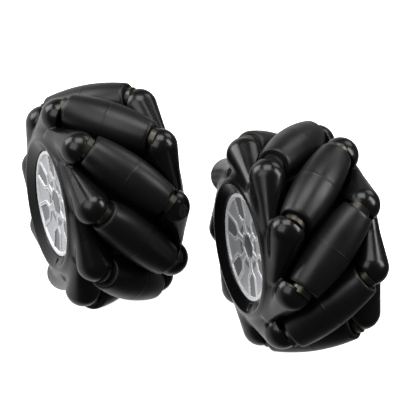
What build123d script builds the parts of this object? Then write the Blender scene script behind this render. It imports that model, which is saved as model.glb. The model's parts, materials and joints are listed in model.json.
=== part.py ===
from build123d import *
import math
import os

# A handed pair of mecanum wheels, standing upright side by side with parallel axles.
# Millimetres, +Z up, axles along X. The origin is the centre of the left wheel, on its axle.
# Both outer faces look towards -X; the right wheel stands nearer to -Y and further along +X.

# Wheel envelope
WHEEL_R = 50.0              # rolling radius over the barrel rollers
ROLLER_COUNT = 9
ROLLER_TILT = 45.0          # angle between a roller's axle and the wheel's axle
ROLLER_MID_R = 9.8          # largest radius of a barrel roller
ROLLER_LEN = 40.6
PITCH_R = WHEEL_R - ROLLER_MID_R   # radius of the circle on which the roller centres lie
PITCH = 360.0 / ROLLER_COUNT

# Placing of the two wheels: hand of the rollers, centre, and angle of the first roller,
# measured from -Y towards +Z
LEFT_FIRST_ROLLER = 78.3
RIGHT_FIRST_ROLLER = 59.7
RIGHT_CENTRE = (65.2, -67.8, 0.0)

# Roller stack along its own axle, measured from the roller's middle
TREAD_CHAMFER = 0.35
CORE_R = 5.6
CORE_RECESS = 0.5           # the core's ends lie this far inside the tread's ends
PIN_R = 2.0
SLEEVE_R = 3.0
RUNNING_CLEARANCE = 0.05    # radial gap between the turning core and its fixed sleeves
END_FLOAT = 0.25            # axial gap between a roller end and its flange
SLEEVE_INNER_END = 12.0
FLANGE_R = 5.0
CLAW_FACE = 23.15           # flat face of a claw, square to the roller's axle, from the roller's middle
PIN_HALF_LEN = 27.5
PIN_HOLE_OVERRUN = 1.0      # the pin's hole starts this far before the claw's face

# Cage ring, measured outwards along the wheel's axle (u) and from the axle (r)
LIP_U = 27.6
LIP_R = 28.6
WEB_INNER_U = 13.0
OUTER_WEB_U = 19.0
INNER_WEB_U = 24.7
ROLLER_CLEARANCE = 0.9      # room kept around each roller in the cages
AXLE_BOSS_T = 3.0           # raised centre of the outer cage, behind the insert
# Outside of a cage from the drum to the recess, as (r, u)
RIM_OUTLINE = (
    (30.0, WEB_INNER_U),
    (35.1, 17.0),
    (36.6, 20.0),
    (35.4, 23.5),
    (32.0, 26.8),
    (29.8, LIP_U),
    (LIP_R, LIP_U),
    (24.0, 24.7),
)

# Claw: a horn that tapers from a round head beside the roller end to a root on the ring,
# placed by axial, tangential and radial distances from the roller's middle plane
HEAD_R = 7.2
HEAD_U = 18.5
HEAD_T = 17.2
HEAD_RAD = 36.1
ROOT_R = 5.0
ROOT_U = 20.8
ROOT_T = 22.5
ROOT_RAD = 21.5
CLAW_CUT = 40.0             # side of the block that cuts a claw's face

# Hub
DRUM_R = 28.0
HUB_BORE_R = 9.0
SHAFT_R = 4.0
FLANGE_PLATE_R = 14.0
FLANGE_PLATE_T = 3.0
COUPLING_SCREW_PCR = 11.5
COUPLING_SCREWS = 4
CLAMP_SCREW_PCR = 21.0
CLAMP_SCREWS = 6
M3_R = 1.5
M3_HEAD_R = 2.75
M3_HEAD_T = 3.0
M3_SOCKET = 1.5
M3_SOCKET_R = 1.4
THIN_HEAD_R = 2.2
THIN_HEAD_T = 1.2
THIN_SOCKET = 0.8
THIN_SOCKET_R = 1.0
COUPLING_SCREW_LEN = 9.0
CLAMP_SCREW_TIP_U = 17.0
GRUB_R = 2.0
GRUB_ACCESS_R = 2.6
GRUB_ANGLES = (10.0, 130.0)
GRUB_X = -7.0
GRUB_TIP_GAP = 0.4          # between a loose grub screw's tip and the shaft bore
GRUB_SINK = 0.3             # a grub screw's end lies this far inside the coupling
GRUB_SOCKET = 2.0
GRUB_SOCKET_R = 1.1
OVERRUN = 1.0               # how far a cutter passes the surface it opens

# Spoked insert in the outer face, and how far it is turned about the wheel's axle
LEFT_INSERT_TURN = 8.3
RIGHT_INSERT_TURN = 26.3
INSERT_R = 24.0
INSERT_FACE_U = 24.7
INSERT_RIM = 1.6
INSERT_PLATE_U = 22.0
SPOKES = 6
SPOKE_W = 3.2
FORK_W = 1.8
FORK_R = 11.5
FORK_SPREAD = 52.0
SPOKE_TOP_U = 23.9
HUB_RING_W = 2.0
CAP_R = 4.2
CAP_GAP = 0.2
CAP_SINK = 1.0              # depth of the cap's seat in the insert's plate
CAP_TOP_U = 23.4

# Frames used to build one left-handed wheel with its first roller on top (+Z):
# the wheel's outward direction is -X and the tangential direction is +Y.
TILT = math.radians(ROLLER_TILT)
ROLLER_DIR = Vector(-math.cos(TILT), math.sin(TILT), 0)
ROLLER_PLANE = Plane(origin=(0, 0, PITCH_R), x_dir=(0, 0, 1), z_dir=ROLLER_DIR)
OUTWARD = Plane(origin=(0, 0, 0), x_dir=(0, 1, 0), z_dir=(-1, 0, 0))


def tube_along(plane, start, end, radius, bore=0.0):
    """A round bar or tube along a plane's normal, from start to end."""
    bar = Cylinder(radius, end - start, align=(Align.CENTER, Align.CENTER, Align.MIN))
    if bore > 0:
        bar -= Cylinder(bore, end - start, align=(Align.CENTER, Align.CENTER, Align.MIN))
    return plane * Pos(0, 0, start) * bar


def barrel(grow=0.0, bore=0.0):
    """The barrel shape of a roller about Z: its outline lies on the wheel's envelope."""
    half = ROLLER_LEN / 2 + grow
    end_r = WHEEL_R - math.hypot(PITCH_R, ROLLER_LEN / 2 * math.sin(TILT)) + grow
    mid_r = ROLLER_MID_R + grow
    side = ThreePointArc((end_r, -half, 0), (mid_r, 0, 0), (end_r, half, 0))
    outline = side + Polyline((end_r, half, 0), (bore, half, 0), (bore, -half, 0), (end_r, -half, 0))
    upright = revolve(make_face(outline), Axis.Y)
    return Rot(90, 0, 0) * upright


def roller_tread():
    """Rubber barrel, moulded on the core."""
    tread = barrel(bore=CORE_R)
    end_edges = tread.edges().filter_by(GeomType.CIRCLE).sort_by(lambda e: e.radius)[-3:]
    rims = [e for e in end_edges if abs(abs(e.arc_center.Z) - ROLLER_LEN / 2) < 0.01]
    return ROLLER_PLANE * chamfer(rims, TREAD_CHAMFER)


def roller_core():
    """Hard plastic tube that carries the tread and runs on the two sleeves."""
    half = ROLLER_LEN / 2 - CORE_RECESS
    return tube_along(ROLLER_PLANE, -half, half, CORE_R, SLEEVE_R + RUNNING_CLEARANCE)


def axle_pin():
    return tube_along(ROLLER_PLANE, -PIN_HALF_LEN, PIN_HALF_LEN, PIN_R)


def flanged_sleeve(side):
    """Metal sleeve on the pin; its flange fills the gap between roller end and claw."""
    flange_start = ROLLER_LEN / 2 + END_FLOAT
    plane = ROLLER_PLANE if side > 0 else Plane(
        origin=ROLLER_PLANE.origin, x_dir=ROLLER_PLANE.x_dir, z_dir=-ROLLER_PLANE.z_dir
    )
    sleeve = tube_along(plane, SLEEVE_INNER_END, CLAW_FACE, SLEEVE_R, PIN_R)
    return sleeve + tube_along(plane, flange_start, CLAW_FACE, FLANGE_R, PIN_R)


def claw():
    """One horn of the outer cage, beside the outer end of the top roller."""
    head = Vector(-HEAD_U, HEAD_T, HEAD_RAD)
    root = Vector(-ROOT_U, ROOT_T, ROOT_RAD)
    length = (root - head).length
    lean = math.asin((HEAD_R - ROOT_R) / length)
    horn_plane = Plane(origin=head, z_dir=root - head)
    cone = Cone(
        HEAD_R * math.cos(lean),
        ROOT_R * math.cos(lean),
        length + (ROOT_R - HEAD_R) * math.sin(lean),
        align=(Align.CENTER, Align.CENTER, Align.MIN),
    )
    horn = horn_plane * Pos(0, 0, HEAD_R * math.sin(lean)) * cone
    horn += Pos(head) * Sphere(HEAD_R)
    horn += Pos(root) * Sphere(ROOT_R)
    roller_side = Box(CLAW_CUT, CLAW_CUT, CLAW_CUT, align=(Align.CENTER, Align.CENTER, Align.MAX))
    return horn - ROLLER_PLANE * Pos(0, 0, CLAW_FACE) * roller_side


def cage_ring(web_u):
    """Body of a cage about Z, with the lip at LIP_U and a web that closes the middle."""
    seat = [(INSERT_R, web_u)] if web_u < INSERT_FACE_U else []
    middle = [(HUB_BORE_R, web_u), (HUB_BORE_R, WEB_INNER_U)]
    section = make_face(Plane.XZ * Polyline(*RIM_OUTLINE, *seat, *middle, close=True))
    return revolve(section, Axis.Z)


def turned(shape, step):
    """A copy of a top-roller feature, moved on by a number of roller pitches."""
    return Rot(step * PITCH, 0, 0) * shape


def claws_and_room(ring):
    """Adds the nine claws to a cage ring in its outer position and clears the rollers."""
    cage = ring
    horn = claw()
    for step in range(ROLLER_COUNT):
        cage += turned(horn, step)
    room = ROLLER_PLANE * barrel(grow=ROLLER_CLEARANCE)
    hole = tube_along(ROLLER_PLANE, CLAW_FACE - PIN_HOLE_OVERRUN, PIN_HALF_LEN, PIN_R)
    for step in range(ROLLER_COUNT):
        cage -= turned(room, step)
        cage -= turned(hole, step)
    return cage


def around_axle(count, radius, start_angle=0.0):
    """Places on a circle about the wheel's axle, as offsets in the wheel's plane."""
    for index in range(count):
        angle = math.radians(start_angle + index * 360 / count)
        yield radius * math.cos(angle), radius * math.sin(angle)


def bar_at(y, z, x_from, x_to, radius):
    """A round bar along X."""
    return tube_along(Plane(origin=(0, y, z), z_dir=(1, 0, 0)), x_from, x_to, radius)


def clamp_screw(y, z):
    """Socket-head screw from the inner face through the drum into the outer cage."""
    head_bottom = INNER_WEB_U - M3_HEAD_T
    screw = bar_at(y, z, -CLAMP_SCREW_TIP_U, head_bottom, M3_R)
    screw += bar_at(y, z, head_bottom, INNER_WEB_U, M3_HEAD_R)
    socket = extrude(RegularPolygon(M3_SOCKET_R, 6), amount=M3_SOCKET)
    return screw - Plane(origin=(INNER_WEB_U - M3_SOCKET, y, z), z_dir=(1, 0, 0)) * socket


def coupling_screw(y, z):
    """Thin-head screw that fastens the coupling's flange to the inner cage."""
    head_bottom = INNER_WEB_U - THIN_HEAD_T
    screw = bar_at(y, z, INNER_WEB_U - COUPLING_SCREW_LEN, head_bottom, M3_R)
    screw += bar_at(y, z, head_bottom, INNER_WEB_U, THIN_HEAD_R)
    socket = extrude(RegularPolygon(THIN_SOCKET_R, 6), amount=THIN_SOCKET)
    return screw - Plane(origin=(INNER_WEB_U - THIN_SOCKET, y, z), z_dir=(1, 0, 0)) * socket


def clamp_places():
    return around_axle(CLAMP_SCREWS, CLAMP_SCREW_PCR, 30)


def coupling_places():
    return around_axle(COUPLING_SCREWS, COUPLING_SCREW_PCR, 45)


def grub_place(angle):
    return Pos(GRUB_X, 0, 0) * Rot(angle, 0, 0)


def outer_cage():
    cage = claws_and_room(OUTWARD * cage_ring(OUTER_WEB_U))
    cage += bar_at(0, 0, -OUTER_WEB_U, -OUTER_WEB_U + AXLE_BOSS_T, HUB_BORE_R)
    for y, z in clamp_places():
        cage -= bar_at(y, z, -CLAMP_SCREW_TIP_U, 0, M3_R)
    return cage


def inner_cage():
    cage = claws_and_room(OUTWARD * cage_ring(INNER_WEB_U))
    cage = Rot(0, 0, 180) * cage
    cage -= bar_at(0, 0, INNER_WEB_U - FLANGE_PLATE_T, LIP_U, FLANGE_PLATE_R)
    for y, z in clamp_places():
        cage -= bar_at(y, z, 0, LIP_U, M3_R)
        cage -= bar_at(y, z, INNER_WEB_U - M3_HEAD_T, LIP_U, M3_HEAD_R)
    for y, z in coupling_places():
        cage -= bar_at(y, z, INNER_WEB_U - COUPLING_SCREW_LEN, LIP_U, M3_R)
    return cage


def hub_drum():
    """Spacer between the two cages, with channels to reach the grub screws."""
    drum = bar_at(0, 0, -WEB_INNER_U, WEB_INNER_U, DRUM_R)
    drum -= bar_at(0, 0, -WEB_INNER_U, WEB_INNER_U, HUB_BORE_R)
    for y, z in clamp_places():
        drum -= bar_at(y, z, -WEB_INNER_U, WEB_INNER_U, M3_R)
    for angle in GRUB_ANGLES:
        drum -= grub_place(angle) * tube_along(Plane.XY, 0, DRUM_R + OVERRUN, GRUB_ACCESS_R)
    return drum


def shaft_coupling():
    """Aluminium coupling with the shaft bore, a flange and two threaded holes."""
    coupling = bar_at(0, 0, -WEB_INNER_U, INNER_WEB_U, HUB_BORE_R)
    coupling += bar_at(0, 0, INNER_WEB_U - FLANGE_PLATE_T, INNER_WEB_U, FLANGE_PLATE_R)
    coupling -= bar_at(0, 0, -WEB_INNER_U, INNER_WEB_U, SHAFT_R)
    for y, z in coupling_places():
        coupling -= bar_at(y, z, 0, INNER_WEB_U, M3_R)
        coupling -= bar_at(y, z, INNER_WEB_U - THIN_HEAD_T, INNER_WEB_U, THIN_HEAD_R)
    for angle in GRUB_ANGLES:
        coupling -= grub_place(angle) * tube_along(Plane.XY, 0, HUB_BORE_R + OVERRUN, GRUB_R)
    return coupling


def grub_screws():
    screws = []
    for angle in GRUB_ANGLES:
        screw = tube_along(Plane.XY, SHAFT_R + GRUB_TIP_GAP, HUB_BORE_R - GRUB_SINK, GRUB_R)
        socket = extrude(RegularPolygon(GRUB_SOCKET_R, 6), amount=GRUB_SOCKET)
        screw -= Pos(0, 0, HUB_BORE_R - GRUB_SINK - GRUB_SOCKET) * socket
        screws.append(grub_place(angle) * screw)
    return screws


def forked_spoke():
    """One spoke along X: a stem from the middle and two arms that reach under the rim."""
    height = SPOKE_TOP_U - OUTER_WEB_U
    spoke = Pos(FORK_R / 2, 0, 0) * Box(FORK_R, SPOKE_W, height)
    inner_r = INSERT_R - INSERT_RIM / 2
    spread = math.radians(FORK_SPREAD)
    reach = math.sqrt(inner_r ** 2 - (FORK_R * math.sin(spread)) ** 2) - FORK_R * math.cos(spread)
    arm = Pos(reach / 2, 0, 0) * Box(reach, FORK_W, height)
    for angle in (-FORK_SPREAD, FORK_SPREAD):
        spoke += Pos(FORK_R, 0, 0) * Rot(0, 0, angle) * arm
    return spoke


def spoke_insert():
    """Plated insert: a dished plate with a rim and forked spokes."""
    insert = tube_along(OUTWARD, OUTER_WEB_U, INSERT_PLATE_U, INSERT_R)
    insert += tube_along(OUTWARD, INSERT_PLATE_U, INSERT_FACE_U, INSERT_R, INSERT_R - INSERT_RIM)
    spoke = forked_spoke()
    middle = (SPOKE_TOP_U + OUTER_WEB_U) / 2
    for index in range(SPOKES):
        insert += OUTWARD * Pos(0, 0, middle) * Rot(0, 0, index * 360 / SPOKES) * spoke
    insert += tube_along(OUTWARD, OUTER_WEB_U, SPOKE_TOP_U, CAP_R + HUB_RING_W)
    return insert - tube_along(OUTWARD, INSERT_PLATE_U - CAP_SINK, LIP_U, CAP_R)


def centre_cap():
    cap = extrude(RegularPolygon(CAP_R - CAP_GAP, SPOKES), amount=CAP_TOP_U - INSERT_PLATE_U + CAP_SINK)
    return OUTWARD * Pos(0, 0, INSERT_PLATE_U - CAP_SINK) * cap


def wheel_groups():
    """The fixed nodes of a left-handed wheel with a roller on top, by name, without the insert."""
    steps = range(ROLLER_COUNT)
    sleeves = [flanged_sleeve(side) for side in (-1, 1)]
    return {
        "outer_cage": [outer_cage()],
        "inner_cage": [inner_cage()],
        "hub_drum": [hub_drum()],
        "shaft_coupling": [shaft_coupling()],
        "axle_pins": [turned(axle_pin(), step) for step in steps],
        "flanged_sleeves": [turned(sleeve, step) for step in steps for sleeve in sleeves],
        "clamp_screws": [clamp_screw(y, z) for y, z in clamp_places()],
        "coupling_screws": [coupling_screw(y, z) for y, z in coupling_places()],
        "grub_screws": grub_screws(),
    }


def place(shape, hand, first_roller, centre):
    """Turns a wheel piece so that its first roller is at an angle, and moves it."""
    if hand < 0:
        shape = mirror(shape, about=Plane.XZ)
    return Pos(*centre) * Rot(90 - first_roller, 0, 0) * shape


def write_node(name, shapes):
    solids = [solid for shape in shapes for solid in shape.solids()]
    node = solids[0] if len(solids) == 1 else Compound(children=solids)
    node.label = name
    export_step(node, f"parts/{name}.step")


def main():
    os.makedirs("parts", exist_ok=True)
    groups = wheel_groups()
    tread = roller_tread()
    core = roller_core()
    wheels = (
        ("left", 1, LEFT_FIRST_ROLLER, LEFT_INSERT_TURN, (0.0, 0.0, 0.0)),
        ("right", -1, RIGHT_FIRST_ROLLER, RIGHT_INSERT_TURN, RIGHT_CENTRE),
    )
    for side, hand, first_roller, insert_turn, centre in wheels:
        insert = {
            "spoke_insert": [Rot(insert_turn, 0, 0) * spoke_insert()],
            "centre_cap": [Rot(insert_turn, 0, 0) * centre_cap()],
        }
        for name, shapes in (groups | insert).items():
            placed = [place(shape, hand, first_roller, centre) for shape in shapes]
            write_node(f"{side}_{name}", placed)
        for index in range(ROLLER_COUNT):
            angle = first_roller - index * PITCH
            for name, shape in (("tread", tread), ("core", core)):
                placed = place(shape, hand, angle, centre)
                write_node(f"{side}_roller_{name}_{index + 1}", [placed])


main()
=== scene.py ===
import json
import math

import bmesh
import bpy
import numpy as np
from mathutils import Matrix, Vector


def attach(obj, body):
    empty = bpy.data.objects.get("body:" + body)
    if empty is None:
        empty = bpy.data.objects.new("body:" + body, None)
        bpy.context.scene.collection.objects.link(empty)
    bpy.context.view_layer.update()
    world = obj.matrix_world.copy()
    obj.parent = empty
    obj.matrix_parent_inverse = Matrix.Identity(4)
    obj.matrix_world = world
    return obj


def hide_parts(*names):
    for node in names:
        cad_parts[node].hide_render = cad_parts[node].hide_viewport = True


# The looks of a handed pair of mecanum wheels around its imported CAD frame. Metres, +Z up.
# A wheel's outer, spoked face looks towards -X. Shapes are worked out in a wheel's own frame:
# u runs outwards along the axle, t runs round the wheel and rad is the distance from the axle
# in the plane of a roller's middle. In that frame the first roller is on top.

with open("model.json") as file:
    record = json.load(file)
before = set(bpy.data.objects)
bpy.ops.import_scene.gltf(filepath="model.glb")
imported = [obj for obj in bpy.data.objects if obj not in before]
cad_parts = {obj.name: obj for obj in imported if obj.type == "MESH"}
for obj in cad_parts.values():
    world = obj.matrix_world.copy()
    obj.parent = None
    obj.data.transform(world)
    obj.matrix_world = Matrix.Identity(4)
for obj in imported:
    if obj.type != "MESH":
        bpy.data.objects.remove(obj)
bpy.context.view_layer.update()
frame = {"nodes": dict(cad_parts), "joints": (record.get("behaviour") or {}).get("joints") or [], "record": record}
MM = 0.001
RECORD = frame["record"]
SIDES = ("left", "right")

# ---------------------------------------------------------------- sizes, in millimetres
WHEEL_R = 50.0
ROLLER_MID_R = 9.8
PITCH_R = WHEEL_R - ROLLER_MID_R
ROLLER_LEN = 40.6
TILT = math.radians(45)
CORE_R = 5.6
CLAW_FACE = 21.8                # how far a claw's flat face is from its roller's middle
LIP_U = 27.6
LIP_R = 28.6
INSERT_FACE_U = 24.7
INSERT_R = 24.0
HUB_BORE_R = 9.0
FLANGE_PLATE_R = 14.0
FLANGE_PLATE_T = 3.0
CLAMP_SCREWS = (6, 21.0, 30.0)      # count, circle radius, first angle
SPOKES = 6
INSERT_TURN = {"left": 8.3, "right": 26.3}     # how far an insert is turned in its own wheel
TAB_ANGLE = {"left": 118.1, "right": 38.5}     # place of the latch tab in the recess

CLAMP_HEAD_R = 2.75             # counterbores of the clamp screws in the inner cage
CLAMP_HEAD_DEEP = 3.0
CAGE_STEP = 0.55                # grid spacing of the cage meshes


# ---------------------------------------------------------------- the wheels in the frame
def wheel_facts(side):
    """Centre, hand, roller count and first roller angle of a wheel, read from the record."""
    mounts = {m["name"]: m for m in RECORD["mounts"]}
    centre = np.array(mounts[f"{side}_shaft_bore"]["pos_m"])
    spins = [j for j in frame["joints"] if j["name"].startswith(f"{side}_roller_")]
    first = next(j for j in spins if j["name"] == f"{side}_roller_1_spin")
    arm = np.array(first["pos_m"]) - centre
    turn = math.atan2(-arm[1], arm[2])
    tangent = np.array([0.0, math.cos(turn), math.sin(turn)])
    hand = 1 if np.dot(first["axis"], tangent) * -first["axis"][0] > 0 else -1
    return {"side": side, "centre": centre, "count": len(spins), "turn": turn, "hand": hand}


WHEELS = {side: wheel_facts(side) for side in SIDES}
COUNT = WHEELS["left"]["count"]


def wheel_matrix(wheel):
    """From a left-handed wheel's own frame, first roller on top, to the row frame."""
    mirror = Matrix.Diagonal((1, wheel["hand"], 1, 1))
    turn = Matrix.Rotation(wheel["turn"], 4, "X")
    return Matrix.Translation(Vector(wheel["centre"])) @ turn @ mirror


def add_mesh(name, verts, faces, material, smooth=True, normals=None):
    """A mesh object from arrays in millimetres."""
    mesh = bpy.data.meshes.new(name)
    mesh.from_pydata((np.asarray(verts) * MM).tolist(), [], [tuple(f) for f in faces])
    mesh.update()
    mesh.polygons.foreach_set("use_smooth", [smooth] * len(mesh.polygons))
    if normals is not None:
        mesh.normals_split_custom_set_from_vertices(np.asarray(normals).tolist())
    piece = bpy.data.objects.new(name, mesh)
    bpy.context.scene.collection.objects.link(piece)
    mesh.materials.append(material)
    return piece


def to_wheel(piece, wheel, nodes=()):
    """Puts a piece made in a left-handed wheel's own frame on a wheel, and lets it ride there."""
    matrix = wheel_matrix(wheel)
    piece.data.transform(matrix)
    if matrix.determinant() < 0:
        piece.data.flip_normals()
    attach(piece, f"{wheel['side']}_wheel")
    for node in nodes:
        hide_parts(f"{wheel['side']}_{node}")
    return piece


# ---------------------------------------------------------------- fields and their surfaces
def smooth_min(a, b, k):
    h = np.clip(0.5 + 0.5 * (b - a) / k, 0, 1)
    return b + (a - b) * h - k * h * (1 - h)


def smooth_max(a, b, k):
    return -smooth_min(-a, -b, k)


def polygon_field(px, py, points):
    """Signed distance to a closed outline in a plane, negative inside."""
    best = np.full(px.shape, np.inf)
    inside = np.zeros(px.shape, bool)
    for (ax, ay), (bx, by) in zip(points, points[1:] + points[:1]):
        ex, ey = bx - ax, by - ay
        wx, wy = px - ax, py - ay
        along = np.clip((wx * ex + wy * ey) / (ex * ex + ey * ey), 0, 1)
        best = np.minimum(best, (wx - ex * along) ** 2 + (wy - ey * along) ** 2)
        crosses = (ay > py) != (by > py)
        if ay != by:
            inside ^= crosses & (px < ex * (py - ay) / (by - ay) + ax)
    return np.where(inside, -1, 1) * np.sqrt(best)


def round_cone_field(p, a, b, ra, rb):
    """Distance to the hull of two spheres."""
    axis = b - a
    length = float(np.linalg.norm(axis))
    direction = axis / length
    w = p - a
    along = w @ direction
    out = np.sqrt(np.maximum((w * w).sum(-1) - along ** 2, 0))
    lean = (ra - rb) / length
    side = math.sqrt(1 - lean * lean)
    shift = along - out * lean / side
    share = np.clip(shift / length, 0, 1)
    foot = share * length
    return np.sqrt((along - foot) ** 2 + out ** 2) - (ra + (rb - ra) * share)


def surface_net(field, low, high, step):
    """Quads over the zero level of a field, pulled onto it, with the field's own normals."""
    axes = [np.arange(lo, hi + step, step) for lo, hi in zip(low, high)]
    grid = np.stack(np.meshgrid(*axes, indexing="ij"), -1)
    shape = grid.shape[:3]
    value = field(grid.reshape(-1, 3)).reshape(shape)
    cells = tuple(n - 1 for n in shape)
    corners = [(i, j, k) for i in (0, 1) for j in (0, 1) for k in (0, 1)]

    def corner(array, c):
        return array[c[0]:c[0] + cells[0], c[1]:c[1] + cells[1], c[2]:c[2] + cells[2]]

    inside = value < 0
    count = sum(corner(inside, c).astype(int) for c in corners)
    active = (count > 0) & (count < 8)
    index = np.full(cells, -1)
    index[active] = np.arange(active.sum())
    total = np.zeros((active.sum(), 3))
    hits = np.zeros(active.sum())
    for c in corners:
        for axis in range(3):
            if c[axis]:
                continue
            d = tuple(v + (n == axis) for n, v in enumerate(c))
            f0, f1 = corner(value, c)[active], corner(value, d)[active]
            crossed = (f0 < 0) != (f1 < 0)
            share = np.where(crossed, f0 / np.where(crossed, f0 - f1, 1), 0)
            p0, p1 = corner(grid, c)[active], corner(grid, d)[active]
            total += crossed[:, None] * (p0 + (p1 - p0) * share[:, None])
            hits += crossed
    verts = total / hits[:, None]
    faces = []
    for axis in range(3):
        first = [slice(1, n - 1) for n in shape]
        first[axis] = slice(0, shape[axis] - 1)
        second = list(first)
        second[axis] = slice(1, shape[axis])
        f0, f1 = inside[tuple(first)], inside[tuple(second)]
        where = np.argwhere(f0 != f1)
        outward = f0[tuple(where.T)]
        where = where + [0 if n == axis else 1 for n in range(3)]
        b, c = [n for n in range(3) if n != axis]
        ring = []
        for db, dc in ((-1, -1), (0, -1), (0, 0), (-1, 0)):
            at = where.copy()
            at[:, b] += db
            at[:, c] += dc
            ring.append(index[tuple(at.T)])
        quads = np.stack(ring, 1)
        flip = outward if axis == 1 else ~outward
        quads[flip] = quads[flip][:, ::-1]
        faces.append(quads)
    faces = np.concatenate(faces)
    for _ in range(3):
        slope = field_slope(field, verts)
        size = np.maximum((slope * slope).sum(1), 0.25)
        move = field(verts)[:, None] * slope / size[:, None]
        verts = verts - np.clip(move, -0.4 * step, 0.4 * step)
    slope = field_slope(field, verts)
    normals = slope / np.maximum(np.linalg.norm(slope, axis=1), 1e-6)[:, None]
    return verts, faces, normals


def field_slope(field, points, reach=0.05):
    slope = np.empty_like(points)
    for axis in range(3):
        shift = np.zeros(3)
        shift[axis] = reach
        slope[:, axis] = (field(points + shift) - field(points - shift)) / (2 * reach)
    return slope


# ---------------------------------------------------------------- cages
# A claw is two tapered rods that start in its head. The ends of each are given as
# (u, angle round the axle from the top roller, distance from the axle, radius).
# The fin falls back to the ring beside the next roller's end.
CLAW_FIN = (
    (18.0, 24.0, 39.6, 8.0),
    (22.6, 57.0, 33.4, 2.6),
)
# The wedge runs in between this roller and the next one.
CLAW_WEDGE = (
    (17.2, 25.0, 39.0, 6.9),
    (18.0, 49.0, 33.6, 3.6),
)
RIM_OUTLINE = [
    (13.0, 0.0), (13.0, 29.0), (16.5, 34.0), (19.5, 35.8), (22.5, 35.0), (25.6, 32.4),
    (27.2, 30.4), (LIP_U, 29.4), (LIP_U, LIP_R), (INSERT_FACE_U, INSERT_R + 0.2),
]
SEAT = [(21.5, INSERT_R + 0.2), (21.5, 0.0)]
INNER_WEB = [(INSERT_FACE_U, 0.0)]
EDGE_ROUND = 0.5
CLAW_FILLET = 3.0               # claws into the ring
ROD_FILLET = 1.0                # fin into wedge
CLAW_BLEND = 0.8                # one claw into the next
POCKET_FILLET = 0.3
FACE_FILLET = 0.7
ROLLER_ROOM = 2.1               # clearance round a roller
FAR_AWAY = 1e9                  # a distance beyond every shape


def claw_points(rod):
    """A rod's ends in a roller's frame, as (u, t, rad) and a radius."""
    for u, polar, rho, radius in rod:
        a = math.radians(polar)
        yield np.array([u, rho * math.sin(a), rho * math.cos(a)]), radius


def barrel_radius(s):
    return WHEEL_R - np.sqrt(PITCH_R ** 2 + (s * math.sin(TILT)) ** 2)


def inset(points, d):
    """The same outline with every edge moved inwards by d."""
    area = sum(ax * by - bx * ay for (ax, ay), (bx, by) in zip(points, points[1:] + points[:1]))
    turn = 1 if area > 0 else -1
    moved = []
    for k, here in enumerate(points):
        before, after = Vector(points[k - 1]), Vector(points[(k + 1) % len(points)])
        here = Vector(here)
        e0, e1 = (here - before).normalized(), (after - here).normalized()
        n0, n1 = Vector((-e0.y, e0.x)) * turn, Vector((-e1.y, e1.x)) * turn
        both = (n0 + n1) / max(1 + n0.dot(n1), 0.2)
        moved.append(tuple(here + both * d))
    return moved


OUTER_SECTION = inset(RIM_OUTLINE + SEAT, EDGE_ROUND)
INNER_SECTION = inset(RIM_OUTLINE + INNER_WEB, EDGE_ROUND)


def cage_field(p, section):
    """A cage with its lip outwards: p holds x = -u, y = t and z = rad for the top roller."""
    u = -p[:, 0]
    rho = np.hypot(p[:, 1], p[:, 2])
    solid = polygon_field(u, rho, section) - EDGE_ROUND
    claws = np.full(len(p), FAR_AWAY)
    room = np.full(len(p), FAR_AWAY)
    rods = [list(claw_points(rod)) for rod in (CLAW_FIN, CLAW_WEDGE)]
    nearest = np.round(np.arctan2(p[:, 1], p[:, 2]) / (2 * math.pi / COUNT))
    for step in (-2, -1, 0, 1):
        angle = (nearest + step) * 2 * math.pi / COUNT
        c, s = np.cos(angle), np.sin(angle)
        t = p[:, 1] * c - p[:, 2] * s
        rad = p[:, 1] * s + p[:, 2] * c
        q = np.stack([u, t, rad], 1)
        fin, wedge = (round_cone_field(q, a, b, ra, rb) for (a, ra), (b, rb) in rods)
        horn = smooth_min(fin, wedge, ROD_FILLET)
        along = (u + t) * math.cos(TILT)
        horn = smooth_max(horn, CLAW_FACE - along, FACE_FILLET)
        claws = smooth_min(claws, horn, CLAW_BLEND) if step > -2 else horn
        across = (u - t) * math.sin(TILT)
        out = np.hypot(across, rad - PITCH_R)
        half = ROLLER_LEN / 2
        roller = out - barrel_radius(np.clip(along, -half, half)) - ROLLER_ROOM
        roller = np.maximum(roller, np.maximum(along - CLAW_FACE, -along - half - ROLLER_ROOM))
        room = np.minimum(room, roller)
    solid = smooth_min(solid, claws, CLAW_FILLET)
    return smooth_max(solid, -room, POCKET_FILLET)


def round_hole(p, y, z, radius, from_u):
    """Field of a blind hole along the axle, open outwards."""
    return np.maximum(np.hypot(p[:, 1] - y, p[:, 2] - z) - radius, from_u + p[:, 0])


def screw_places(count, circle, first):
    for k in range(count):
        a = math.radians(first + k * 360 / count)
        yield circle * math.cos(a), circle * math.sin(a)


def outer_field(p):
    return cage_field(p, OUTER_SECTION)


def inner_field(p):
    """The inner cage turned outwards, with the coupling's pocket and the screws' counterbores."""
    body = cage_field(p, INNER_SECTION)
    holes = round_hole(p, 0, 0, FLANGE_PLATE_R, INSERT_FACE_U - FLANGE_PLATE_T)
    holes = np.minimum(holes, round_hole(p, 0, 0, HUB_BORE_R, 0))
    for y, z in screw_places(*CLAMP_SCREWS):
        holes = np.minimum(holes, round_hole(p, -y, z, CLAMP_HEAD_R, INSERT_FACE_U - CLAMP_HEAD_DEEP))
    return smooth_max(body, -holes, POCKET_FILLET)


def cage_mesh(field):
    low = (-LIP_U - 1.5, -WHEEL_R, -WHEEL_R)    # room for the grid beyond the lip
    high = (-8.0, WHEEL_R, WHEEL_R)             # inside of every claw
    return surface_net(field, low, high, CAGE_STEP)


def half_turn(points):
    """Turns the outer cage into the inner one: half a turn about the top roller's middle."""
    return points * np.array([-1.0, -1.0, 1.0])


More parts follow.
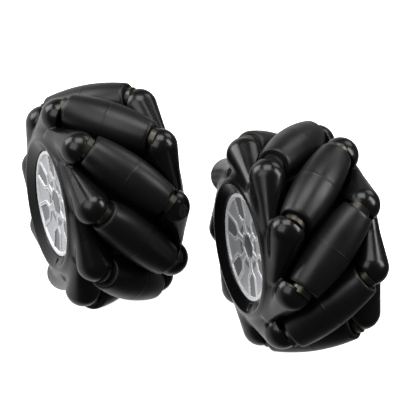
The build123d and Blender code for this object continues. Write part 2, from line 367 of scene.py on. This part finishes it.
def build_cages(finish):
    """Both cages of both wheels, from one outer and one inner shape."""
    for name, field in (("outer_cage", outer_field), ("inner_cage", inner_field)):
        verts, faces, normals = cage_mesh(field)
        if name == "inner_cage":
            verts, normals = half_turn(verts), half_turn(normals)
        for wheel in WHEELS.values():
            matrix = np.array(wheel_matrix(wheel))
            v = verts @ matrix[:3, :3].T + matrix[:3, 3] / MM
            n = normals @ matrix[:3, :3].T
            f = faces[:, ::-1] if wheel["hand"] < 0 else faces
            piece = add_mesh(f"{wheel['side']}_{name}_shell", v, f, finish, normals=n)
            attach(piece, f"{wheel['side']}_wheel")
            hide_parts(f"{wheel['side']}_{name}")


# ---------------------------------------------------------------- spoke inserts
FORK_R = 10.6               # where a spoke forks
FORK_HALF = 0.6             # how far off the spoke's middle an arm starts
ARM_BEND = (13.7, 4.0)      # where an arm turns outwards again, along and across the spoke
ARM_FOOT = (22.5, 4.7)
RIM_INNER_R = 22.0
HUB_R = 6.1
STEM_HALF = 1.5
ARM_HALF = 0.85
LINE_W = 0.5
CAP_R = 5.1
POCKET_R = 9.8              # reach of the grey pockets beside the hub
INSERT_BACK_U = 19.6
INSERT_RINGS = 112
INSERT_SECTORS = 672


def segment_distance(x, y, x0, y0, x1, y1):
    ex, ey = x1 - x0, y1 - y0
    along = np.clip(((x - x0) * ex + (y - y0) * ey) / (ex * ex + ey * ey), 0, 1)
    return np.hypot(x - x0 - ex * along, y - y0 - ey * along)


def rise(distance, width):
    """A bevelled step: one inside, nought outside, over a width either side of nought."""
    h = np.clip(0.5 - distance / width, 0, 1)
    return h * h * (3 - 2 * h)


def insert_relief(x, y):
    """Height of the insert's face along the axle, and its finish: 0 bright, 1 dark panel, 2 satin."""
    r = np.hypot(x, y)
    fold = math.pi / SPOKES
    a = np.abs((np.arctan2(y, x) + fold) % (2 * fold) - fold)
    fx, fy = r * np.cos(a), r * np.sin(a)
    stem = segment_distance(fx, fy, HUB_R - 2, 0, FORK_R, 0) - STEM_HALF
    bend = segment_distance(fx, fy, FORK_R, FORK_HALF, *ARM_BEND)
    foot = segment_distance(fx, fy, *ARM_BEND, *ARM_FOOT)
    arm = np.minimum(bend, foot) - ARM_HALF
    rim = RIM_INNER_R - r
    hexagon = np.maximum(fx, fx * math.cos(2 * fold) + fy * math.sin(2 * fold)) - HUB_R
    net = smooth_min(smooth_min(stem, arm, 0.2), np.minimum(rim, hexagon), 0.2)
    dish = 22.9 + 1.2 * np.clip((r - 5) / 17, 0, 1) ** 1.3
    line = np.abs(net + LINE_W / 2) - LINE_W / 2
    ridge = dish + 0.12 * rise(line, 0.2)
    floor = dish - 0.35
    face = floor + (ridge - floor) * rise(net, 0.4)
    cap = np.maximum(fx, fx * math.cos(2 * fold) + fy * math.sin(2 * fold)) - CAP_R
    face = face - 0.7 * rise(cap, 0.4)
    lift = rise(RIM_INNER_R + 0.25 - r, 0.4)
    face = face + lift * (INSERT_FACE_U - 0.2 - face)
    face = face - 0.5 * rise(INSERT_R - 0.15 - r, 0.5)
    inside = np.interp(fx, (FORK_R, ARM_BEND[0], ARM_FOOT[0]), (FORK_HALF, ARM_BEND[1], ARM_FOOT[1]))
    crotch = (net > 0) & (((fx > FORK_R) & (fy < inside)) | ((net > 0.7) & (r < POCKET_R)))
    finish = np.where((line < 0) | (r > RIM_INNER_R - 0.3), 0, np.where(crotch, 1, 2))
    return face, finish


def insert_mesh():
    """The relief on a polar grid, closed by a wall and a back."""
    rings = np.concatenate([[0.0], np.linspace(0.4, INSERT_R - 0.05, INSERT_RINGS)])
    sectors = INSERT_SECTORS
    turn = np.arange(sectors) * 2 * math.pi / sectors
    r = np.repeat(rings[1:], sectors)
    a = np.tile(turn, len(rings) - 1)
    x, y = np.append(0, r * np.cos(a)), np.append(0, r * np.sin(a))
    face, finish = insert_relief(x, y)
    verts = np.stack([-face, x, -y], 1)
    edge = verts[-sectors:] * [0, 1, 1] - [INSERT_BACK_U, 0, 0]
    verts = np.concatenate([verts, edge, [[-INSERT_BACK_U, 0, 0]]])
    k = np.arange(sectors)
    n = (k + 1) % sectors
    faces = [(0, 1 + i, 1 + j) for i, j in zip(k, n)]
    steps = len(rings) - 1
    for i in range(steps):
        near, far = 1 + i * sectors, 1 + (i + 1) * sectors
        faces += list(zip(near + k, far + k, far + n, near + n))
    last, back = 1 + steps * sectors, len(verts) - 1
    faces += [(last + i, back, last + j) for i, j in zip(k, n)]
    finish = np.append(finish, np.full(sectors + 1, 2))
    return verts, faces, [int(finish[f[-1]]) for f in faces]


def build_inserts(finishes):
    """The relief on both wheels, with the bright, panel and satin finishes by face."""
    verts, faces, finish = insert_mesh()
    for side, wheel in WHEELS.items():
        turn = np.array(Matrix.Rotation(math.radians(INSERT_TURN[side]), 3, "X"))
        piece = add_mesh(f"{side}_insert_face", verts @ turn.T, faces, finishes[0])
        for other in finishes[1:]:
            piece.data.materials.append(other)
        piece.data.polygons.foreach_set("material_index", finish)
        smooth_by_angle(piece, 50)
        to_wheel(piece, wheel, ["spoke_insert"])


def build_caps(finish):
    """A bevelled six-sided plate with a shallow dome in the middle of each insert."""
    outline = [(0.0, 23.05), (1.4, 23.02), (3.0, 22.9), (4.2, 22.75), (4.75, 22.35), (4.8, 21.2)]
    outline.append((0.0, 21.2))
    verts, faces = [], []
    for r, u in outline:
        for k in range(SPOKES):
            a = (k + 0.5) * 2 * math.pi / SPOKES
            corner = r / math.cos(math.pi / SPOKES)
            verts.append((-u, corner * math.cos(a), -corner * math.sin(a)))
    for i in range(len(outline) - 1):
        for k in range(SPOKES):
            n = (k + 1) % SPOKES
            faces.append((i * SPOKES + k, (i + 1) * SPOKES + k, (i + 1) * SPOKES + n, i * SPOKES + n))
    for side, wheel in WHEELS.items():
        turn = np.array(Matrix.Rotation(math.radians(INSERT_TURN[side]), 3, "X"))
        piece = add_mesh(f"{side}_cap_plate", np.array(verts) @ turn.T, faces, finish)
        weld = bmesh.new()
        weld.from_mesh(piece.data)
        bmesh.ops.remove_doubles(weld, verts=weld.verts, dist=1e-6)
        weld.to_mesh(piece.data)
        weld.free()
        smooth_by_angle(piece, 25)
        to_wheel(piece, wheel, ["centre_cap"])


# ---------------------------------------------------------------- latch tabs
def build_tabs(finish):
    """A small keyed tab across the recess between the lip and the insert."""
    section = [(24.4, 24.3), (24.7, 25.6), (25.6, 26.1), (27.6, 27.0), (28.3, 27.1), (28.3, 26.0)]
    for side, wheel in WHEELS.items():
        a = math.radians(TAB_ANGLE[side])
        tab = bmesh.new()
        walls = []
        for w in (-1.3, -1.0, 1.0, 1.3):
            drop = 0.25 if abs(w) > 1.1 else 0.0
            row = []
            for r, u in section:
                y = r * math.cos(a) - w * math.sin(a)
                z = -r * math.sin(a) - w * math.cos(a)
                row.append(tab.verts.new((-(u - drop), y, z)))
            walls.append(row)
        size = len(section)
        for row, other in zip(walls, walls[1:]):
            for k in range(size):
                n = (k + 1) % size
                tab.faces.new((row[k], row[n], other[n], other[k]))
        tab.faces.new(walls[0][::-1])
        tab.faces.new(walls[-1])
        bmesh.ops.recalc_face_normals(tab, faces=tab.faces)
        mesh = bpy.data.meshes.new(f"{side}_latch_tab")
        bmesh.ops.scale(tab, vec=(MM, MM, MM), verts=tab.verts)
        tab.to_mesh(mesh)
        tab.free()
        mesh.materials.append(finish)
        piece = bpy.data.objects.new(f"{side}_latch_tab", mesh)
        bpy.context.scene.collection.objects.link(piece)
        smooth_by_angle(piece, 30)
        to_wheel(piece, wheel)


# ---------------------------------------------------------------- materials
def material(name, base, roughness, metallic=0.0, grain_size=900.0,
             bump=0.0, vary=0.0, rough_vary=0.0, wear=0.0, wear_color=(0.2, 0.2, 0.2), specular=0.5):
    """A procedural finish: colour and roughness vary, with fine grain and edge wear."""
    m = bpy.data.materials.new(name)
    m.use_nodes = True
    nodes, links = m.node_tree.nodes, m.node_tree.links
    shader = nodes["Principled BSDF"]
    shader.inputs["Metallic"].default_value = metallic
    shader.inputs["Specular IOR Level"].default_value = specular
    place = nodes.new("ShaderNodeTexCoord")
    cloud = nodes.new("ShaderNodeTexNoise")
    cloud.inputs["Scale"].default_value = 60.0
    cloud.inputs["Detail"].default_value = 6.0
    links.new(place.outputs["Object"], cloud.inputs["Vector"])
    tint = nodes.new("ShaderNodeMix")
    tint.data_type = "RGBA"
    low = [c * (1 - vary) for c in base]
    high = [min(1, c * (1 + vary)) for c in base]
    tint.inputs["A"].default_value = (*low, 1)
    tint.inputs["B"].default_value = (*high, 1)
    links.new(cloud.outputs["Fac"], tint.inputs["Factor"])
    colour = tint.outputs["Result"]
    if wear > 0:
        geometry = nodes.new("ShaderNodeNewGeometry")
        edge = nodes.new("ShaderNodeMapRange")
        edge.inputs["From Min"].default_value = 0.52
        edge.inputs["From Max"].default_value = 0.62
        edge.inputs["To Max"].default_value = wear
        links.new(geometry.outputs["Pointiness"], edge.inputs["Value"])
        worn = nodes.new("ShaderNodeMix")
        worn.data_type = "RGBA"
        worn.inputs["B"].default_value = (*wear_color, 1)
        links.new(edge.outputs["Result"], worn.inputs["Factor"])
        links.new(colour, worn.inputs["A"])
        colour = worn.outputs["Result"]
    links.new(colour, shader.inputs["Base Color"])
    smear = nodes.new("ShaderNodeTexNoise")
    smear.inputs["Scale"].default_value = 140.0
    smear.inputs["Detail"].default_value = 4.0
    links.new(place.outputs["Object"], smear.inputs["Vector"])
    gloss = nodes.new("ShaderNodeMapRange")
    gloss.inputs["From Min"].default_value = 0.3
    gloss.inputs["From Max"].default_value = 0.7
    gloss.inputs["To Min"].default_value = max(0.02, roughness - rough_vary)
    gloss.inputs["To Max"].default_value = roughness + rough_vary
    links.new(smear.outputs["Fac"], gloss.inputs["Value"])
    links.new(gloss.outputs["Result"], shader.inputs["Roughness"])
    if bump > 0:
        fine = nodes.new("ShaderNodeTexNoise")
        fine.inputs["Scale"].default_value = grain_size
        fine.inputs["Detail"].default_value = 3.0
        links.new(place.outputs["Object"], fine.inputs["Vector"])
        relief = nodes.new("ShaderNodeBump")
        relief.inputs["Strength"].default_value = bump
        relief.inputs["Distance"].default_value = 0.0001
        links.new(fine.outputs["Fac"], relief.inputs["Height"])
        links.new(relief.outputs["Normal"], shader.inputs["Normal"])
    return m


CAGE = material("cage_black", (0.0045, 0.0045, 0.0049), 0.24, bump=0.05, grain_size=700,
                vary=0.25, rough_vary=0.05, wear=0.12, wear_color=(0.03, 0.03, 0.031), specular=0.42)
RUBBER = material("roller_rubber", (0.0060, 0.0061, 0.0064), 0.38, bump=0.14, grain_size=1600,
                  vary=0.2, rough_vary=0.05, specular=0.40)
CORE = material("core_plastic", (0.012, 0.012, 0.012), 0.5, bump=0.1, vary=0.2, rough_vary=0.08,
                specular=0.3)
PLATED = material("plated_bright", (0.95, 0.955, 0.97), 0.28, metallic=0.15, bump=0.02, vary=0.03,
                  rough_vary=0.05)
PANEL = material("plated_panel", (0.24, 0.245, 0.26), 0.40, metallic=0.4, bump=0.05, vary=0.14,
                 rough_vary=0.08)
SATIN = material("plated_satin", (0.58, 0.585, 0.61), 0.40, metallic=0.4, bump=0.05, vary=0.12,
                 rough_vary=0.08)
# Chrome centre cap with its base colour darkened: a painted reflection that stands in for the dark surroundings
# the chrome mirrors, not a grey finish of its own.
CAP_PAINTED_REFLECTION = material("cap_painted_dark_reflection", (0.22, 0.225, 0.24), 0.35, metallic=0.8, bump=0.05, vary=0.12, rough_vary=0.08)
SLEEVE = material("sleeve_nickel", (0.085, 0.08, 0.066), 0.40, metallic=1.0, bump=0.08, vary=0.1,
                  rough_vary=0.08)
STEEL = material("pin_steel", (0.50, 0.50, 0.51), 0.3, metallic=1.0, bump=0.1, vary=0.08, rough_vary=0.08)
SCREW = material("screw_black", (0.06, 0.06, 0.065), 0.35, metallic=0.8, bump=0.1, vary=0.2,
                 rough_vary=0.08)
ALUMINIUM = material("coupling_aluminium", (0.66, 0.67, 0.69), 0.3, metallic=1.0, bump=0.12, vary=0.05,
                     rough_vary=0.1)
DRUM = material("drum_plastic", (0.005, 0.005, 0.0055), 0.5, bump=0.15, vary=0.2, rough_vary=0.08,
                specular=0.3)


# ---------------------------------------------------------------- rollers
CORE_ROOM_R = 3.1           # hole for the pin in a roller's end face
RIM_ROUND = 0.55
RIM_STEPS = 6
BARREL_PLACES = 41
SEAM_HALF = 0.16            # half width and rise of the mould line
SEAM_RISE = 0.03
ROLLER_SEGMENTS = 72


def roller_outline():
    """Half outline of a roller as (radius, place along the axle), from one core face to the other."""
    half = ROLLER_LEN / 2
    end_r = float(barrel_radius(np.array(half)))
    rim = RIM_ROUND
    points = [(CORE_ROOM_R, -half + 0.9), (CORE_R - 0.35, -half + 0.9), (CORE_R - 0.2, -half + 0.75)]
    points += [(CORE_R, -half + 0.35), (CORE_R + 0.35, -half + 0.05), (end_r - rim, -half)]
    for step in range(1, RIM_STEPS):
        a = step / RIM_STEPS * math.pi / 2
        points.append((end_r - rim + rim * math.sin(a), -half + rim - rim * math.cos(a)))
    places = np.linspace(-half + rim, half - rim, BARREL_PLACES)
    for s in places:
        if abs(s) > 0.5:
            points.append((float(barrel_radius(s)), float(s)))
        elif abs(s) < 0.01:
            crest = ROLLER_MID_R + SEAM_RISE
            points += [(ROLLER_MID_R, -SEAM_HALF), (crest, -SEAM_HALF / 2)]
            points += [(crest, SEAM_HALF / 2), (ROLLER_MID_R, SEAM_HALF)]
    left = [p for p in points if p[1] <= -half + rim + 0.01 and p[1] < 0]
    mirrored = [(r, -s) for r, s in reversed(left[:-1])]
    return points + mirrored


def lathe(outline, segments):
    """Turns a half outline about Z."""
    rings = len(outline)
    verts = []
    for r, s in outline:
        for k in range(segments):
            a = 2 * math.pi * k / segments
            verts.append((r * math.cos(a), r * math.sin(a), s))
    faces = []
    for i in range(rings - 1):
        for k in range(segments):
            n = (k + 1) % segments
            near, far = i * segments, (i + 1) * segments
            faces.append((near + k, near + n, far + n, far + k))
    return np.array(verts), faces


def smooth_by_angle(piece, degrees=35):
    """Smooth shading with crisp edges above an angle."""
    mesh = piece.data
    sharp = bmesh.new()
    sharp.from_mesh(mesh)
    for edge in sharp.edges:
        edge.smooth = len(edge.link_faces) < 2 or edge.calc_face_angle(0) < math.radians(degrees)
    sharp.to_mesh(mesh)
    sharp.free()
    mesh.polygons.foreach_set("use_smooth", [True] * len(mesh.polygons))


def build_rollers():
    """A rubber barrel on every roller joint of the frame."""
    verts, faces = lathe(roller_outline(), ROLLER_SEGMENTS)
    for joint in frame["joints"]:
        if not joint["name"].endswith("_spin"):
            continue
        body = joint["child"]
        side, _, number = body.split("_")
        piece = add_mesh(f"{body}_rubber", verts, faces, RUBBER)
        smooth_by_angle(piece)
        turn = Vector((0, 0, 1)).rotation_difference(Vector(joint["axis"]))
        piece.data.transform(Matrix.Translation(joint["pos_m"]) @ turn.to_matrix().to_4x4())
        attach(piece, body)
        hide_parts(f"{side}_roller_tread_{number}")


# ---------------------------------------------------------------- CAD nodes that stay
def finish_nodes():
    """A finish on each CAD node that is listed here, in place of its packed material."""
    finishes = {
        "hub_drum": DRUM, "shaft_coupling": ALUMINIUM, "centre_cap": PANEL, "axle_pins": STEEL,
        "flanged_sleeves": SLEEVE, "clamp_screws": SCREW, "coupling_screws": SCREW, "grub_screws": SCREW,
        "spoke_insert": PLATED,
    }
    for name, node in frame["nodes"].items():
        kind = name.split("_", 1)[1]
        finish = CORE if kind.startswith("roller_core") else finishes.get(kind)
        if finish:
            node.data.materials.clear()
            node.data.materials.append(finish)


# ---------------------------------------------------------------- studio
STAGE_HALF = 3.0            # half the floor's side, in metres


def glow(name, strength):
    """A plain pale finish that stays evenly lit."""
    m = material(name, (0.93, 0.93, 0.93), 0.8, vary=0.01)
    shader = m.node_tree.nodes["Principled BSDF"]
    shader.inputs["Emission Color"].default_value = (1, 1, 1, 1)
    shader.inputs["Emission Strength"].default_value = strength
    return m


def set_stage():
    """A pale floor and a pale tent round it, which throw no light on the object."""
    pale = glow("stage_pale", 1.0)
    size, floor_z = STAGE_HALF, -WHEEL_R * MM
    floor = bmesh.new()
    square = ((-1, -1), (1, -1), (1, 1), (-1, 1))
    corners = [floor.verts.new((x * size, y * size, floor_z)) for x, y in square]
    floor.faces.new(corners)
    tent = bmesh.new()
    bmesh.ops.create_icosphere(tent, subdivisions=4, radius=size * 1.6)
    for name, shape in (("floor", floor), ("tent", tent)):
        mesh = bpy.data.meshes.new(name)
        shape.to_mesh(mesh)
        shape.free()
        mesh.materials.append(pale)
        cloth = bpy.data.objects.new(name, mesh)
        bpy.context.scene.collection.objects.link(cloth)
        cloth.visible_diffuse = False
        cloth.visible_glossy = False
        cloth.visible_shadow = False
    bpy.context.scene.view_settings.view_transform = "Standard"


# World light: an even base and one soft glow, which starts and is full at these cosines
# of the angle from its direction
GLOW_DIRECTION = Vector((-0.31, 0.82, -0.47))
GLOW_START = 0.20
GLOW_FULL = 0.80
GLOW_STRENGTH = 0.8
WORLD_BASE = 0.06


def world_light():
    """An even dim world with one soft glow, low and behind, that the outer faces mirror."""
    world = bpy.data.worlds.new("studio")
    bpy.context.scene.world = world
    world.use_nodes = True
    nodes, links = world.node_tree.nodes, world.node_tree.links
    place = nodes.new("ShaderNodeTexCoord")
    dot = nodes.new("ShaderNodeVectorMath")
    dot.operation = "DOT_PRODUCT"
    dot.inputs[1].default_value = GLOW_DIRECTION.normalized()
    links.new(place.outputs["Generated"], dot.inputs[0])
    ramp = nodes.new("ShaderNodeMapRange")
    ramp.interpolation_type = "SMOOTHSTEP"
    ramp.inputs["From Min"].default_value = GLOW_START
    ramp.inputs["From Max"].default_value = GLOW_FULL
    ramp.inputs["To Max"].default_value = GLOW_STRENGTH
    links.new(dot.outputs["Value"], ramp.inputs["Value"])
    add = nodes.new("ShaderNodeMath")
    add.inputs[1].default_value = WORLD_BASE
    links.new(ramp.outputs["Result"], add.inputs[0])
    links.new(add.outputs["Value"], nodes["Background"].inputs["Strength"])
    nodes["Background"].inputs["Color"].default_value = (1, 1, 1, 1)


def soft_light(name, azimuth, elevation, distance, target, size, power):
    """A soft box that looks at the object from an azimuth and elevation, both in degrees."""
    a, e = math.radians(azimuth), math.radians(elevation)
    back = Vector((math.sin(a) * math.cos(e), -math.cos(a) * math.cos(e), math.sin(e)))
    light = bpy.data.lights.new(name, "AREA")
    light.shape = "RECTANGLE"
    light.size, light.size_y = size
    light.energy = power
    lamp = bpy.data.objects.new(name, light)
    bpy.context.scene.collection.objects.link(lamp)
    lamp.location = target + back * distance
    lamp.rotation_euler = (-back).to_track_quat("-Z", "Y").to_euler()


def lights(middle):
    soft_light("top", -20, 85, 0.9, middle, (0.6, 0.5), 4.8)
    soft_light("back_left", -130, 35, 1.0, middle, (0.5, 0.6), 5.0)
    soft_light("left_high", -62, 42, 0.9, middle, (0.7, 0.6), 3.2)
    soft_light("right", 60, 28, 1.0, middle, (0.3, 0.7), 5.4)
    soft_light("back_right", 110, 40, 1.0, middle, (0.4, 0.5), 1.4)


# Camera: azimuth from -Y, elevation, distance and lens that give the picture's view
CAMERA_AZIMUTH = math.radians(-20.8)
CAMERA_ELEVATION = math.radians(28.3)
CAMERA_DISTANCE = 1.432
CAMERA_LENS = 276.6
CAMERA_OFFSET = Vector((0.0063, 0.0036, 0.0))


def camera(middle):
    target = middle + CAMERA_OFFSET
    a, e = CAMERA_AZIMUTH, CAMERA_ELEVATION
    back = Vector((math.sin(a) * math.cos(e), -math.cos(a) * math.cos(e), math.sin(e)))
    lens = bpy.data.cameras.new("camera")
    lens.lens = CAMERA_LENS
    lens.sensor_width = 36
    lens.clip_end = 20
    eye = bpy.data.objects.new("camera", lens)
    bpy.context.scene.collection.objects.link(eye)
    eye.location = target + back * CAMERA_DISTANCE
    eye.rotation_euler = (-back).to_track_quat("-Z", "Y").to_euler()
    bpy.context.scene.camera = eye


MIDDLE = Vector((WHEELS["left"]["centre"] + WHEELS["right"]["centre"]) / 2)
camera(MIDDLE)
set_stage()
world_light()
lights(MIDDLE)
finish_nodes()
build_rollers()
build_cages(CAGE)
build_inserts((PLATED, PANEL, SATIN))
build_caps(CAP_PAINTED_REFLECTION)
build_tabs(CAGE)
